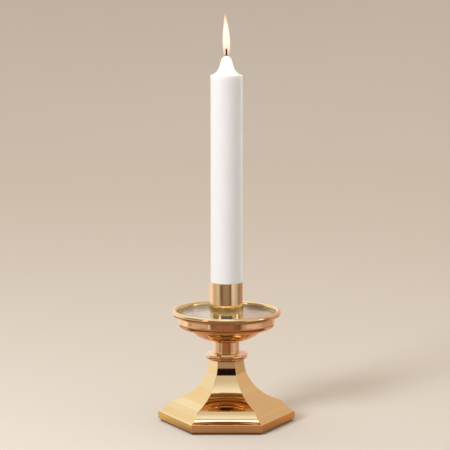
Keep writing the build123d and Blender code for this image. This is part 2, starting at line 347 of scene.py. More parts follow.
WALLS = [
    [
        (-180, rgb(0.48, 0.25, 0.14)),
        (-50, rgb(0.40, 0.21, 0.12)),
        (50, rgb(0.44, 0.20, 0.10)),
    ],
    [
        (-180, rgb(0.95, 0.80, 0.80)),
        (-113, rgb(0.76, 0.63, 0.60)),
        (-98, rgb(0.68, 0.50, 0.43)),
        (-75, rgb(0.54, 0.35, 0.26)),
        (-65, rgb(0.39, 0.21, 0.13)),
        (-55, rgb(0.48, 0.27, 0.20)),
        (-36, rgb(0.34, 0.15, 0.10)),
        (-27, rgb(0.30, 0.125, 0.07)),
        (15, rgb(0.24, 0.09, 0.045)),
        (33, rgb(0.41, 0.20, 0.13)),
        (42, rgb(0.54, 0.31, 0.23)),
        (61, rgb(0.66, 0.42, 0.36)),
        (94, rgb(0.52, 0.33, 0.28)),
        (140, rgb(0.80, 0.58, 0.50)),
    ],
    [
        (-180, rgb(0.98, 0.78, 0.66)),
        (-122, rgb(1.12, 0.92, 0.73)),
        (-104, rgb(0.51, 0.31, 0.18)),
        (-91, rgb(0.68, 0.46, 0.33)),
        (-67, rgb(0.60, 0.41, 0.34)),
        (-45, rgb(1.10, 0.95, 1.00)),
        (-39, rgb(0.25, 0.13, 0.09)),
        (-28, rgb(0.34, 0.145, 0.075)),
        (18, rgb(0.26, 0.10, 0.05)),
        (28, rgb(0.18, 0.07, 0.03)),
        (38, rgb(0.46, 0.28, 0.21)),
        (48, rgb(0.77, 0.53, 0.48)),
        (80, rgb(0.70, 0.49, 0.44)),
        (92, rgb(0.56, 0.33, 0.26)),
        (145, rgb(0.80, 0.54, 0.45)),
    ],
    [
        (-180, rgb(1.05, 0.82, 0.78)),
        (-108, rgb(0.78, 0.61, 0.52)),
        (-97, rgb(0.65, 0.51, 0.39)),
        (-72, rgb(0.71, 0.61, 0.54)),
        (-49, rgb(0.36, 0.25, 0.20)),
        (-40, rgb(0.17, 0.10, 0.065)),
        (-28, rgb(0.29, 0.20, 0.17)),
        (-18, rgb(0.34, 0.25, 0.21)),
        (17, rgb(0.22, 0.14, 0.10)),
        (34, rgb(0.77, 0.68, 0.69)),
        (58, rgb(0.63, 0.53, 0.51)),
        (74, rgb(0.50, 0.41, 0.37)),
        (83, rgb(0.35, 0.25, 0.20)),
        (110, rgb(0.47, 0.29, 0.25)),
        (140, rgb(0.85, 0.62, 0.54)),
    ],
    [
        (-180, rgb(0.97, 0.75, 0.65)),
        (-150, rgb(0.99, 0.86, 0.71)),
        (-116, rgb(0.675, 0.577, 0.47)),
        (-48, rgb(0.42, 0.27, 0.21)),
        (30, rgb(0.50, 0.40, 0.36)),
        (36, rgb(0.753, 0.643, 0.60)),
        (84, rgb(0.33, 0.21, 0.16)),
        (106, rgb(0.54, 0.38, 0.22)),
        (150, rgb(0.82, 0.54, 0.45)),
    ],
    [
        (-180, rgb(1.00, 0.84, 0.79)),
        (-170, rgb(0.98, 0.90, 0.80)),
        (-104, rgb(0.36, 0.235, 0.17)),
        (-51, rgb(2.3, 1.85, 1.65)),
        (-40, rgb(0.014, 0.007, 0.005)),
        (42, rgb(0.72, 0.60, 0.50)),
        (73, rgb(2.1, 1.65, 1.4)),
        (86, rgb(0.42, 0.30, 0.23)),
        (106, rgb(0.72, 0.50, 0.34)),
        (170, rgb(0.81, 0.52, 0.51)),
    ],
    [
        (-180, rgb(1.02, 0.97, 0.83)),
        (-155, rgb(0.97, 0.84, 0.64)),
        (-104, rgb(0.34, 0.23, 0.17)),
        (-50, rgb(0.70, 0.60, 0.50)),
        (42, rgb(0.72, 0.62, 0.52)),
        (84, rgb(0.46, 0.34, 0.26)),
        (106, rgb(0.72, 0.54, 0.39)),
        (136, rgb(0.70, 0.49, 0.34)),
    ],
    [
        (-180, rgb(1.05, 1.03, 0.93)),
        (-60, rgb(1.06, 1.00, 0.98)),
        (60, rgb(0.70, 0.56, 0.41)),
    ],
]
# Where each band but the last ends, in degrees over the horizon, and the softness of that edge
WALL_TOPS = [(-15.0, 1.0), (-11.4, 0.1), (-10.65, 0.1), (-8.8, 0.6), (5.5, 2.0), (24.0, 2.0), (52.0, 34.0)]
WALL_SOFTNESS = 4

# A dark ring high up, with its reach in degrees to each side, and the light straight above
SHADE_LINE = 76.0
SHADE_REACH = (1.5, 3.0)
SHADE = rgb(0.34, 0.27, 0.20)
ZENITH_EDGE = (80.0, 82.0)
ZENITH = rgb(2.1, 2.1, 2.0)

# What the camera sees in place of the walls
BACKDROP = rgb(0.60, 0.54, 0.47)


def place_round(heading):
    """A heading's place on a ramp that runs once round: the back, the left, the front and the right."""
    return heading / 360 + 0.5


def stepped(walls):
    """Ramp stops for walls that meet over a few degrees."""
    stops = [(0.0, walls[0][1])]
    for (_, before), (start, colour) in zip(walls, walls[1:]):
        stops.append((place_round(start - WALL_SOFTNESS / 2), before))
        stops.append((place_round(start + WALL_SOFTNESS / 2), colour))
    stops.append((1.0, walls[-1][1]))
    return stops


def studio():
    world = bpy.data.worlds.new("studio")
    world.use_nodes = True
    bpy.context.scene.world = world
    tree = world.node_tree
    tree.nodes.clear()
    axes = separated(tree, add(tree, "ShaderNodeTexCoord").outputs["Generated"])
    elevation = maths(tree, "DEGREES", maths(tree, "ARCSINE", axes["Z"]))
    heading = maths(tree, "ARCTAN2", axes["X"], maths(tree, "MULTIPLY", axes["Y"], -1.0))
    place = maths(tree, "MULTIPLY_ADD", heading, 1 / (2 * pi), 0.5)
    bands = [ramp(tree, place, stepped(walls)) for walls in WALLS]
    colour = bands[0]
    for above, (top, softness) in zip(bands[1:], WALL_TOPS):
        edge = remap(tree, elevation, (top - softness / 2, top + softness / 2))
        colour = mixed(tree, edge, colour, above)
    off_line = maths(tree, "ABSOLUTE", maths(tree, "SUBTRACT", elevation, SHADE_LINE))
    colour = mixed(tree, remap(tree, off_line, SHADE_REACH), SHADE, colour)
    colour = mixed(tree, remap(tree, elevation, ZENITH_EDGE), colour, ZENITH)
    lit = add(tree, "ShaderNodeBackground", {"Color": colour}).outputs[0]
    plain = add(tree, "ShaderNodeBackground", {"Color": BACKDROP}).outputs[0]
    seen = add(tree, "ShaderNodeLightPath").outputs["Is Camera Ray"]
    shown = add(tree, "ShaderNodeMixShader", {0: seen, 1: lit, 2: plain}).outputs[0]
    add(tree, "ShaderNodeOutputWorld", {0: shown})


def hide_from(thing, *rays):
    """Keeps kinds of ray from seeing an object."""
    for ray in rays:
        setattr(thing, "visible_" + ray, False)


LAMP_AIM = Vector((0, 0, 0.35))
KEY = {"place": (-1.5, -1.7, 1.3), "size": 0.9, "power": 48.0, "colour": (0.92, 0.97, 1.0)}
FILL = {"place": (1.9, 0.8, 1.0), "size": 0.8, "power": 27.0, "colour": (0.60, 0.95, 1.0)}


def soft_lamp(name, place, size, power, colour):
    """A soft lamp that lights matt things and isn't mirrored in the brass."""
    data = bpy.data.lights.new(name, "AREA")
    data.shape = "DISK"
    data.size = size
    data.energy = power
    data.color = colour
    lamp = bpy.data.objects.new(name, data)
    lamp.location = place
    lamp.rotation_euler = (LAMP_AIM - Vector(place)).to_track_quat("-Z", "Y").to_euler()
    hide_from(lamp, "glossy")
    bpy.context.collection.objects.link(lamp)
    return lamp


def leave_unlit(lamp, unlit):
    """Keeps a lamp's light off one object."""
    group = bpy.data.collections.new("unlit_by_" + lamp.name)
    group.objects.link(unlit)
    group.collection_objects[0].light_linking.link_state = "EXCLUDE"
    lamp.light_linking.receiver_collection = group


def surface(name):
    """A new material, its tree and its shader."""
    material = bpy.data.materials.new(name)
    material.use_nodes = True
    tree = material.node_tree
    return material, tree, tree.nodes["Principled BSDF"]


def link(tree, socket, shader, key):
    tree.links.new(socket, shader.inputs[key])


def set_plain(shader, values):
    """Sets the inputs that are the same all over a surface."""
    for key, value in values.items():
        shader.inputs[key].default_value = value


def noise(tree, vector, scale, detail=2.0, roughness=0.5):
    inputs = {"Vector": vector, "Scale": scale, "Detail": detail, "Roughness": roughness}
    return add(tree, "ShaderNodeTexNoise", inputs).outputs["Fac"]


def object_point(tree):
    return add(tree, "ShaderNodeTexCoord").outputs["Object"]


def stretched(tree, vector, x, y, z):
    return add(tree, "ShaderNodeVectorMath", {0: vector, 1: (x, y, z)}, operation="MULTIPLY").outputs[0]


def radius_from(tree, axes):
    """The distance from the axis."""
    squares = [maths(tree, "MULTIPLY", axes[name], axes[name]) for name in ("X", "Y")]
    return maths(tree, "SQRT", maths(tree, "ADD", *squares))


# The floor, in millimetres: its rings, where it turns up and how, and its two tones
SWEEP_RINGS = (0.5, 200.0, 600.0, 1500.0)
SWEEP_FLAT = 3000.0
SWEEP_CURVE = 2000.0
SWEEP_HEIGHT = 4500.0
SWEEP_THICKNESS = 50.0
SWEEP_TONES = (rgb(0.72, 0.68, 0.63), rgb(0.75, 0.71, 0.66))

# The table's underside and top in millimetres, and where its colours meet in metres
TABLE_RADIUS = 300.0
TABLE_LEVELS = (-1.0, -0.2)
# The tabletop's tones are painted light: lighter on the left and at the back, dark far out
TABLE_FRONT = rgb(0.39, 0.21, 0.125)
TABLE_LEFT = rgb(0.70, 0.47, 0.23)
TABLE_RIGHT = rgb(0.52, 0.24, 0.10)
TABLE_FAR = rgb(0.17, 0.06, 0.028)
TABLE_BACK = rgb(0.68, 0.45, 0.40)
LEFT_EDGE = (-0.085, -0.045)
RIGHT_EDGE = (0.045, 0.085)
FAR_EDGE = (0.125, 0.145)
BACK_EDGE = (0.02, 0.11)
# Painted shadow close to the base: where it fades out, and its shades
NEAR_EDGE = (0.070, 0.115)
NEAR_PAINTED_SHADOW = (grey(0.62), grey(1.1))
GRAIN_SHADES = (grey(0.82), grey(1.18))


def sweep():
    """A pale floor that curves up into a pale wall all round. The brass doesn't mirror it."""
    material, tree, shader = surface("sweep")
    mottle = noise(tree, object_point(tree), scale=1.3)
    link(tree, mixed(tree, mottle, *SWEEP_TONES), shader, "Base Color")
    set_plain(shader, {"Roughness": 0.9, "Specular IOR Level": 0.0})
    outline = [(r, 0.0) for r in SWEEP_RINGS]
    outline += arc((SWEEP_FLAT, SWEEP_CURVE), SWEEP_CURVE, -90, 0, steps=24)
    outline.append((SWEEP_FLAT + SWEEP_CURVE, SWEEP_HEIGHT))
    outline += [(r + SWEEP_THICKNESS, z - SWEEP_THICKNESS) for r, z in reversed(outline)]
    floor = skin("sweep", [circle(r, z, PLAIN_SEGMENTS) for r, z in outline])
    floor.data.materials.append(material)
    hide_from(floor, "glossy", "diffuse", "transmission", "shadow")
    return floor


def table():
    """A warm tabletop round the base, which only the brass sees. It glows with painted light instead of being
    lit: lighter on the left and at the back, with a painted shadow close to the base, and dark far out."""
    material, tree, shader = surface("table")
    point = object_point(tree)
    axes = separated(tree, point)
    radius = radius_from(tree, axes)
    tone = mixed(tree, remap(tree, axes["X"], LEFT_EDGE, FALLING), TABLE_FRONT, TABLE_LEFT)
    tone = mixed(tree, remap(tree, axes["X"], RIGHT_EDGE), tone, TABLE_RIGHT)
    tone = mixed(tree, remap(tree, radius, FAR_EDGE), tone, TABLE_FAR)
    tone = mixed(tree, remap(tree, axes["Y"], BACK_EDGE), tone, TABLE_BACK)
    # Painted shadow of the base on the tabletop
    painted_shadow = mixed(tree, remap(tree, radius, NEAR_EDGE), *NEAR_PAINTED_SHADOW)
    streaks = noise(tree, stretched(tree, point, 12.0, 70.0, 1.0), scale=1.0, detail=4.0)
    tone = mixed(tree, 1.0, tone, painted_shadow, "MULTIPLY")
    tone = mixed(tree, 1.0, tone, mixed(tree, streaks, *GRAIN_SHADES), "MULTIPLY")
    # The tabletop gives off its tones as painted light
    link(tree, tone, shader, "Emission Color")
    set_plain(shader, {"Base Color": grey(0.0), "Specular IOR Level": 0.0, "Emission Strength": 1.0})
    top = skin("table", [circle(TABLE_RADIUS, z, segments=96) for z in TABLE_LEVELS], hollow=False)
    top.data.materials.append(material)
    hide_from(top, "camera", "diffuse", "transmission", "shadow")
    return top


# ---- Materials ----

BRASS = rgb(0.90, 0.74, 0.46)
BRASS_WARM = rgb(0.89, 0.71, 0.42)
# Painted shade: the next three tones darken hollows and undersides
BRASS_HOLLOW_SHADE = rgb(0.62, 0.37, 0.16)
BRASS_FAINT_HOLLOW_SHADE = rgb(0.88, 0.70, 0.44)
BRASS_UNDERSIDE_SHADE = rgb(0.76, 0.46, 0.20)

# The tones change over these ranges of a noise, of the normal's Z (painted shade on undersides) and of the
# openness within HOLLOW_REACH (painted shade in hollows)
WARMING = (0.35, 0.7)
TURNED_DOWN = (-0.7, -0.1)
HOLLOW_REACH = 0.004
HOLLOW_OPENNESS = (0.3, 0.9)

# The polish's roughness from clean to smudged, and the height of its relief in metres
POLISH = (0.05, 0.09)
POLISH_SMUDGES = (0.4, 0.75)
POLISH_RELIEF = 0.0000035
WAVE_SHARE = 26.0


def polish_lines(tree, point, drift, scale, detail):
    """Fine lines that run round the axis, as a polishing wheel leaves them."""
    axes = separated(tree, point)
    along = maths(tree, "MULTIPLY", maths(tree, "ARCTAN2", axes["Y"], axes["X"]), drift)
    place = {0: along, 1: radius_from(tree, axes), 2: axes["Z"]}
    return noise(tree, add(tree, "ShaderNodeCombineXYZ", place).outputs[0], scale, detail)


def bumped(tree, shader, height, distance, strength=0.6):
    inputs = {"Height": height, "Strength": strength, "Distance": distance}
    link(tree, add(tree, "ShaderNodeBump", inputs).outputs[0], shader, "Normal")


def brass_tone_and_shade(tree, point, hollow_shade):
    """The colour of lacquered brass, with painted shade: even on open faces, darker and warmer on undersides,
    and a painted shade tone in hollows.
    """
    # Painted shade in hollows: darker where the surface is closed in
    openness = add(tree, "ShaderNodeAmbientOcclusion", {"Distance": HOLLOW_REACH}, samples=4).outputs["AO"]
    upward = separated(tree, add(tree, "ShaderNodeTexCoord").outputs["Normal"])["Z"]
    warmth = remap(tree, noise(tree, point, scale=34.0, detail=3.0), WARMING)
    tone = mixed(tree, warmth, BRASS, BRASS_WARM)
    # Painted shade on undersides: darker and warmer where the surface faces down
    tone = mixed(tree, remap(tree, upward, TURNED_DOWN), BRASS_UNDERSIDE_SHADE, tone)
    return mixed(tree, remap(tree, openness, HOLLOW_OPENNESS), hollow_shade, tone)


def brass(name, lines_round_axis, hollow_shade=BRASS_HOLLOW_SHADE):
    """Polished, lacquered brass: a mirror with faint polishing lines and soft smudges."""
    material, tree, shader = surface(name)
    point = object_point(tree)
    # The colour carries painted shade on undersides and in hollows
    link(tree, brass_tone_and_shade(tree, point, hollow_shade), shader, "Base Color")
    smudges = noise(tree, point, scale=90.0, detail=4.0, roughness=0.6)
    link(tree, remap(tree, smudges, POLISH_SMUDGES, POLISH), shader, "Roughness")
    if lines_round_axis:
        lines = polish_lines(tree, point, drift=0.004, scale=5200.0, detail=1.0)
    else:
        lines = noise(tree, stretched(tree, point, 0.12, 0.12, 1.0), scale=4200.0, detail=1.0)
    wave = noise(tree, point, scale=22.0, detail=1.0)
    bumped(tree, shader, maths(tree, "MULTIPLY_ADD", wave, WAVE_SHARE, lines), POLISH_RELIEF)
    set_plain(shader, {"Metallic": 1.0, "Coat Weight": 0.2, "Coat Roughness": 0.03})
    return material


# The pan's satin floor: where it ends over and under its own height, in metres, and its tones. It is paler
# and less dulled round the socket.
SATIN_OVER = (0.0002, 0.0007)
SATIN_UNDER = (-0.0008, -0.0004)
SATIN_TONES = (rgb(0.43, 0.41, 0.365), rgb(0.49, 0.46, 0.41))
SATIN_RINGS = rgb(0.39, 0.37, 0.32)
RING_CONTRAST = (0.35, 0.65)
INNER_TONE = rgb(0.62, 0.635, 0.53)
INNER_EDGE = (0.026, 0.040)
INNER_DULLING = 0.12
OUTER_DULLING = 0.58
PAN_SMUDGES = (0.3, 0.7)
SATIN = (0.11, 0.19)
SATIN_RELIEF = 0.0000025
RIM_RELIEF = 0.000002


def pan_brass(floor_height):
    """The pan: a polished rim round a satin floor with fine turning lines."""
    material, tree, shader = surface("pan_brass")
    point = object_point(tree)
    axes = separated(tree, point)
    over, under = ([floor_height + rise for rise in edge] for edge in (SATIN_OVER, SATIN_UNDER))
    satin = maths(tree, "MULTIPLY", remap(tree, axes["Z"], over, FALLING), remap(tree, axes["Z"], under))
    dull = mixed(tree, noise(tree, point, scale=60.0, detail=4.0), *SATIN_TONES)
    rings = remap(tree, polish_lines(tree, point, drift=0.002, scale=900.0, detail=3.0), RING_CONTRAST)
    dull = mixed(tree, rings, dull, SATIN_RINGS)
    outer = remap(tree, radius_from(tree, axes), INNER_EDGE)
    dull = mixed(tree, outer, INNER_TONE, dull)
    # The polished rim's colour carries painted shade on undersides and in hollows
    link(tree, mixed(tree, satin, brass_tone_and_shade(tree, point, BRASS_FAINT_HOLLOW_SHADE), dull), shader, "Base Color")
    smudges = noise(tree, point, scale=120.0, detail=4.0, roughness=0.6)
    polished = maths(tree, "SUBTRACT", 1.0, satin)
    polished = maths(tree, "MULTIPLY", polished, remap(tree, smudges, PAN_SMUDGES, POLISH))
    rough = maths(tree, "MULTIPLY_ADD", satin, remap(tree, smudges, PAN_SMUDGES, SATIN), polished)
    link(tree, rough, shader, "Roughness")
    relief = maths(tree, "MULTIPLY_ADD", satin, SATIN_RELIEF, RIM_RELIEF)
    bumped(tree, shader, polish_lines(tree, point, drift=0.003, scale=1800.0, detail=2.0), relief)
    worn = maths(tree, "MULTIPLY", satin, maths(tree, "MULTIPLY_ADD", outer, OUTER_DULLING, INNER_DULLING))
    link(tree, maths(tree, "SUBTRACT", 1.0, worn), shader, "Metallic")
    return material


def zinc_steel():
    """Zinc-plated steel fastenings."""
    material, tree, shader = surface("zinc_steel")
    point = object_point(tree)
    mottle = noise(tree, point, scale=300.0, detail=4.0)
    link(tree, mixed(tree, mottle, rgb(0.52, 0.54, 0.58), rgb(0.68, 0.68, 0.66)), shader, "Base Color")
    spangle = add(tree, "ShaderNodeTexVoronoi", {"Vector": point, "Scale": 900.0}).outputs["Color"]
    link(tree, remap(tree, spangle, RISING, (0.26, 0.42)), shader, "Roughness")
    bumped(tree, shader, noise(tree, point, scale=1500.0, detail=3.0), distance=0.00002)
    set_plain(shader, {"Metallic": 1.0})
    return material


def felt():
    """Pressed dark-brown felt with a fibrous surface."""
    material, tree, shader = surface("felt")
    lie = stretched(tree, object_point(tree), 1.0, 0.35, 1.0)
    fibres = noise(tree, lie, scale=2600.0, detail=6.0, roughness=0.7)
    link(tree, mixed(tree, fibres, rgb(0.10, 0.052, 0.022), rgb(0.22, 0.125, 0.06)), shader, "Base Color")
    bumped(tree, shader, fibres, distance=0.0002, strength=0.8)
    set_plain(shader, {"Roughness": 0.95, "Sheen Weight": 0.3})
    return material


def fibre():
    """Red-brown vulcanised fibre."""
    material, tree, shader = surface("fibre")
    mottle = noise(tree, object_point(tree), scale=1400.0, detail=4.0)
    link(tree, mixed(tree, mottle, rgb(0.22, 0.045, 0.03), rgb(0.33, 0.08, 0.05)), shader, "Base Color")
    bumped(tree, shader, mottle, distance=0.00003)
    set_plain(shader, {"Roughness": 0.6})
    return material


# The painted glow starts and is full at these heights from the candle's tip, in metres
GLOW_HEIGHTS = (-0.030, -0.010)
GLOW = 0.30
WAX_TONES = (rgb(0.815, 0.865, 0.915), rgb(0.85, 0.895, 0.935))
WAX_LIT = rgb(0.98, 0.96, 0.92)
WAX_SMUDGES = (0.3, 0.7)
WAX_SHEEN = (0.30, 0.40)


def wax(top):
    """White altar wax: smooth and a little translucent, with a painted glow close to the flame, where it is
    paler and gives off light.
    """
    material, tree, shader = surface("wax")
    point = object_point(tree)
    near_flame = remap(tree, separated(tree, point)["Z"], [top + rise for rise in GLOW_HEIGHTS])
    body = mixed(tree, noise(tree, point, scale=45.0, detail=3.0), *WAX_TONES)
    # Painted light from the flame: paler wax near the tip
    link(tree, mixed(tree, near_flame, body, WAX_LIT), shader, "Base Color")
    smudges = noise(tree, point, scale=160.0, detail=3.0)
    link(tree, remap(tree, smudges, WAX_SMUDGES, WAX_SHEEN), shader, "Roughness")
    ripple = noise(tree, stretched(tree, point, 1.0, 1.0, 0.25), scale=120.0, detail=3.0)
    bumped(tree, shader, ripple, distance=0.0001, strength=0.5)
    # Painted glow: the wax gives off light near the flame
    link(tree, maths(tree, "MULTIPLY", near_flame, GLOW), shader, "Emission Strength")
    set_plain(shader, {
        "Subsurface Weight": 0.5, "Subsurface Radius": (1.0, 0.8, 0.65), "Subsurface Scale": 0.006,
        "Emission Color": rgb(1.0, 0.95, 0.88),
    })
    return material


# The wick chars over these heights above the wax, and glows over the last stretch, in metres
CHARRING = (0.0002, 0.0020)
EMBER_LENGTH = 0.0014
EMBER = 0.6


def wick(top):
    """Braided cotton, charred black where it stands in the flame, with an ember at its end."""
    material, tree, shader = surface("wick")
    point = object_point(tree)
    height = separated(tree, point)["Z"]
    wave = {"Vector": point, "Scale": 380.0, "Distortion": 2.0}
    strand = add(tree, "ShaderNodeTexWave", wave).outputs["Fac"]
    cotton = mixed(tree, strand, rgb(0.30, 0.20, 0.11), rgb(0.46, 0.36, 0.24))
    char = mixed(tree, strand, rgb(0.003, 0.002, 0.002), rgb(0.012, 0.007, 0.004))
    charred = remap(tree, height, [top + rise for rise in CHARRING])
    link(tree, mixed(tree, charred, cotton, char), shader, "Base Color")
    end = top + WICK_SHOWN * MM
    ember = remap(tree, height, (end - EMBER_LENGTH, end))
    link(tree, maths(tree, "MULTIPLY", ember, EMBER), shader, "Emission Strength")
    set_plain(shader, {
        "Emission Color": rgb(1.0, 0.22, 0.04), "Roughness": 0.9, "Specular IOR Level": 0.1,
    })
    return material


# The flame's colours and its cover, from its foot to its tip
FLAME_TONES = [
    (0.02, rgb(0.50, 0.36, 0.42)),
    (0.07, rgb(0.95, 0.62, 0.42)),
    (0.20, rgb(1.0, 0.80, 0.58)),
    (0.34, rgb(1.0, 0.93, 0.74)),
    (0.75, rgb(1.0, 0.92, 0.78)),
    (0.90, rgb(1.0, 0.76, 0.48)),
    (1.0, rgb(0.90, 0.50, 0.24)),
]
FLAME_COVER = [(0.0, grey(0.0)), (0.15, grey(0.03)), (0.24, grey(1.0)), (1.0, grey(1.0))]
FLICKER = 0.04


def flame(low, high):
    """Glowing gas: white in its heart and amber at its tip. Its near side is clear low down, where the wick
    shows."""
    material, tree, shader = surface("flame")
    point = object_point(tree)
    rise = remap(tree, separated(tree, point)["Z"], (low, high), smooth=False)
    flicker = noise(tree, stretched(tree, point, 1.0, 1.0, 0.3), scale=260.0)
    colour = ramp(tree, maths(tree, "MULTIPLY_ADD", flicker, FLICKER, rise), FLAME_TONES)
    link(tree, colour, shader, "Emission Color")
    far_side = add(tree, "ShaderNodeNewGeometry").outputs["Backfacing"]
    cover = maths(tree, "MAXIMUM", far_side, ramp(tree, rise, FLAME_COVER))
    link(tree, cover, shader, "Alpha")
    set_plain(shader, {
        "Emission Strength": 1.1, "Base Color": grey(0.0), "Roughness": 1.0, "Specular IOR Level": 0.0,
    })
    return material


# ---- Pieces ----

def dress(piece, body, material, slot, *nodes):
    """Gives a piece its material and its body, and hides the CAD nodes that it stands for. The slot is not
    used.
    """
    piece.data.materials.append(material)
    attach(piece, body)
    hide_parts(*nodes)


def paint(node, material):
    """Gives a carried-over CAD node its material."""
    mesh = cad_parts[node].data
    mesh.materials.clear()
    mesh.materials.append(material)


def box_mm(node):
    """A node's half width, bottom and top, in millimetres."""
    low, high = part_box(node)
    return high.y / MM, low.z / MM, high.z / MM


def flare_arc(top):
    """The centre and radius of the flare's arc, which is upright at the base's top."""
    rise = top - CAVETTO_TOP
    run = CAVETTO_TOP_APOTHEM - FLARE_TOP_APOTHEM
    radius = (run**2 + rise**2) / (2 * run)
    return (FLARE_TOP_APOTHEM + radius, top), radius


def cavetto_centre(apothem):
    """The centre of the cavetto's arc, from its two ends and its radius."""
    top = Vector((CAVETTO_TOP_APOTHEM, CAVETTO_TOP))
    edge = Vector((apothem, PLINTH_TOP))
    chord = edge - top
    outward = Vector((-chord.y, chord.x)).normalized()
    return (top + edge) / 2 + outward * sqrt(CAVETTO_RADIUS**2 - (chord.length / 2) ** 2)


def arc_over(centre, radius, low, high, steps):
    """Points on the axis side of an arc's centre, between two heights."""
    start = 180 + degrees(asin((centre[1] - low) / radius))
    end = 180 + degrees(asin((centre[1] - high) / radius))
    return arc(centre, radius, start, end, steps)


def base():
    """The hollow hexagonal casting."""
    apothem, low, top = box_mm("base_casting")
    flare, flare_radius = flare_arc(top)
    cavetto = cavetto_centre(apothem)
    outside = [(apothem - EDGE_ROUNDING / 2, low), (apothem, low + EDGE_ROUNDING / 2)]
    outside += arc_over(cavetto, CAVETTO_RADIUS, PLINTH_TOP, CAVETTO_TOP, steps=16)
    outside += arc_over(flare, flare_radius, CAVETTO_TOP, top, steps=48)[1:]
    outside = softened(outside, (apothem, PLINTH_TOP), EDGE_ROUNDING)
    outside = softened(outside, (CAVETTO_TOP_APOTHEM, CAVETTO_TOP), EDGE_ROUNDING)
    seat = top - SEAT_THICKNESS
    step = PLINTH_TOP - BASE_WALL / 2
    turn = CAVETTO_TOP - BASE_WALL
    inside = arc_over(flare, flare_radius + BASE_WALL, seat, turn, steps=16)
    inside += arc_over(cavetto, CAVETTO_RADIUS + BASE_WALL, turn, step, steps=6)
    inside += [(apothem - FOOT_WALL, step), (apothem - FOOT_WALL, low)]
    rings = [hexagon(a, RIB_ROUNDING, z) for a, z in outside]
    rings += [hexagon(ROD_HOLE, ROD_HOLE, top), hexagon(ROD_HOLE, ROD_HOLE, seat)]
    rings += [hexagon(a, RIB_ROUNDING, z) for a, z in inside]
    return skin("base", rings)


def knop():
    """The ring between the base and the neck: a rounded underside, an upright band and a soft top edge."""
    widest, low, _ = box_mm("knop_ring")
    band_low, band_high = (low + rise for rise in KNOP_BAND)
    overhang = widest - KNOP_UNDERSIDE
    bulge = (overhang**2 + (band_low - low) ** 2) / (2 * overhang)
    start = degrees(asin((low - band_low) / bulge))
    outline = [(ROD_HOLE, low)]
    outline += arc((widest - bulge, band_low), bulge, start, 0, steps=12)
    outline += arc((widest - KNOP_EDGE, band_high), KNOP_EDGE, 0, 90, steps=6)
    flange = box_mm("neck_spool")[0]
    outline += [(flange, low + KNOP_HEIGHT), (ROD_HOLE, low + KNOP_HEIGHT)]
    return turned("knop", spaced(outline, longest=2.0))


def neck():
    """The short neck, a spool with a small cove at each end."""
    flange, low, high = box_mm("neck_spool")
    outline = [(NECK_BORE, low), (flange, low)]
    outline += arc((flange, low + NECK_STEP + NECK_COVE), NECK_COVE, 270, 180, steps=6)
    outline += arc((flange, high - NECK_STEP - NECK_COVE), NECK_COVE, 180, 90, steps=6)
    outline += [(flange, high), (NECK_BORE, high)]
    return turned("neck", spaced(outline, longest=2.0))


def cup():
    """The cup under the drum, round a tapped hub."""
    rim = box_mm("pan_cup")[0]
    low = box_mm("neck_spool")[2]
    top = box_mm("drip_pan")[1]
    shelf = low + CUP_HEIGHT
    belly, belly_rise = CUP_BELLY
    outline = arc_through((CUP_FOOT, low), (belly, low + belly_rise), (rim, shelf), steps=28)
    outline += arc_through((rim - CUP_WALL, shelf), (belly - CUP_WALL / 2, low + belly_rise + CUP_WALL),
                           (CUP_FOOT, low + CUP_WALL), steps=10)
    outline += [(HUB, low + CUP_WALL), (HUB, top), (TAPPED, top), (TAPPED, low)]
    return turned("cup", outline)


def drum():
    """The round-cornered band under the pan, of sheet brass."""
    widest, low, high = box_mm("pan_drum")
    corner = (widest - DRUM_CORNER, low + DRUM_CORNER)
    outline = [(DRUM_FLANGE, low)]
    outline += arc(corner, DRUM_CORNER, -90, 0, steps=16)
    outline += [(widest, high), (widest - SHEET, high)]
    outline += arc(corner, DRUM_CORNER - SHEET, 0, -90, steps=8)
    outline.append((DRUM_FLANGE, low + SHEET))
    return turned("drum", spaced(outline, longest=2.5))


def pan():
    """The drip pan, with a beaded rim."""
    rim, low, _ = box_mm("drip_pan")
    floor = low + SHEET
    bead = (rim - BEAD, floor + BEAD_RISE)
    outline = [(ROD_HOLE, low), (PAN_FLOOR_RADIUS, low)]
    outline += arc(bead, BEAD, -90, BEAD_END, steps=30)
    cove = [(PAN_FLOOR_RADIUS + PAN_COVE * out, floor + PAN_COVE * up) for out, up in PAN_COVE_POINTS]
    outline += arc_through(*cove, steps=4)
    outline.append((ROD_HOLE, floor))
    return turned("pan", spaced(outline, longest=5.0))


def tube():
    """The socket's wall, with a softened mouth."""
    outer, low, high = box_mm("socket_tube")
    bore = box_mm("socket_plug")[0]
    outline = [(bore, low), (outer - TUBE_EDGE / 2, low), (outer, low + TUBE_EDGE / 2)]
    outline += arc((outer - TUBE_EDGE, high - TUBE_EDGE), TUBE_EDGE, 0, 90, steps=4)
    outline += arc((bore + TUBE_EDGE, high - TUBE_EDGE), TUBE_EDGE, 90, 180, steps=4)
    return turned("tube", spaced(outline, longest=5.0))


def plug():
    """The socket's tapped floor, with a recess for its washer."""
    outer, low, high = box_mm("socket_plug")
    recess, depth = WASHER_RECESS
    return turned("plug", [(TAPPED, low + depth), (recess, low + depth), (recess, low),
                           (outer, low), (outer, high), (TAPPED, high)])


def rod():
    """The tie rod, with a real thread."""
    outer, low, high = box_mm("tie_rod")
    count = int((high - low) / THREAD_PITCH * THREAD_STEPS)
    rings = []
    for level in range(count + 1):
        z = low + (high - low) * level / count
        crest = outer - max(0.0, ROD_CHAMFER - min(z - low, high - z))
        ring = []
        for i in range(ROD_SEGMENTS):
            turn = i / ROD_SEGMENTS
            phase = ((z - low) / THREAD_PITCH - turn) % 1
            fall = THREAD_FLANK * abs(phase - 0.5) - THREAD_CREST
            radius = min(crest, outer - THREAD_DEPTH * min(1.0, max(0.0, fall)))
            ring.append((radius * cos(2 * pi * turn), radius * sin(2 * pi * turn), z))
        rings.append(ring)
    return skin("rod", rings, hollow=False)


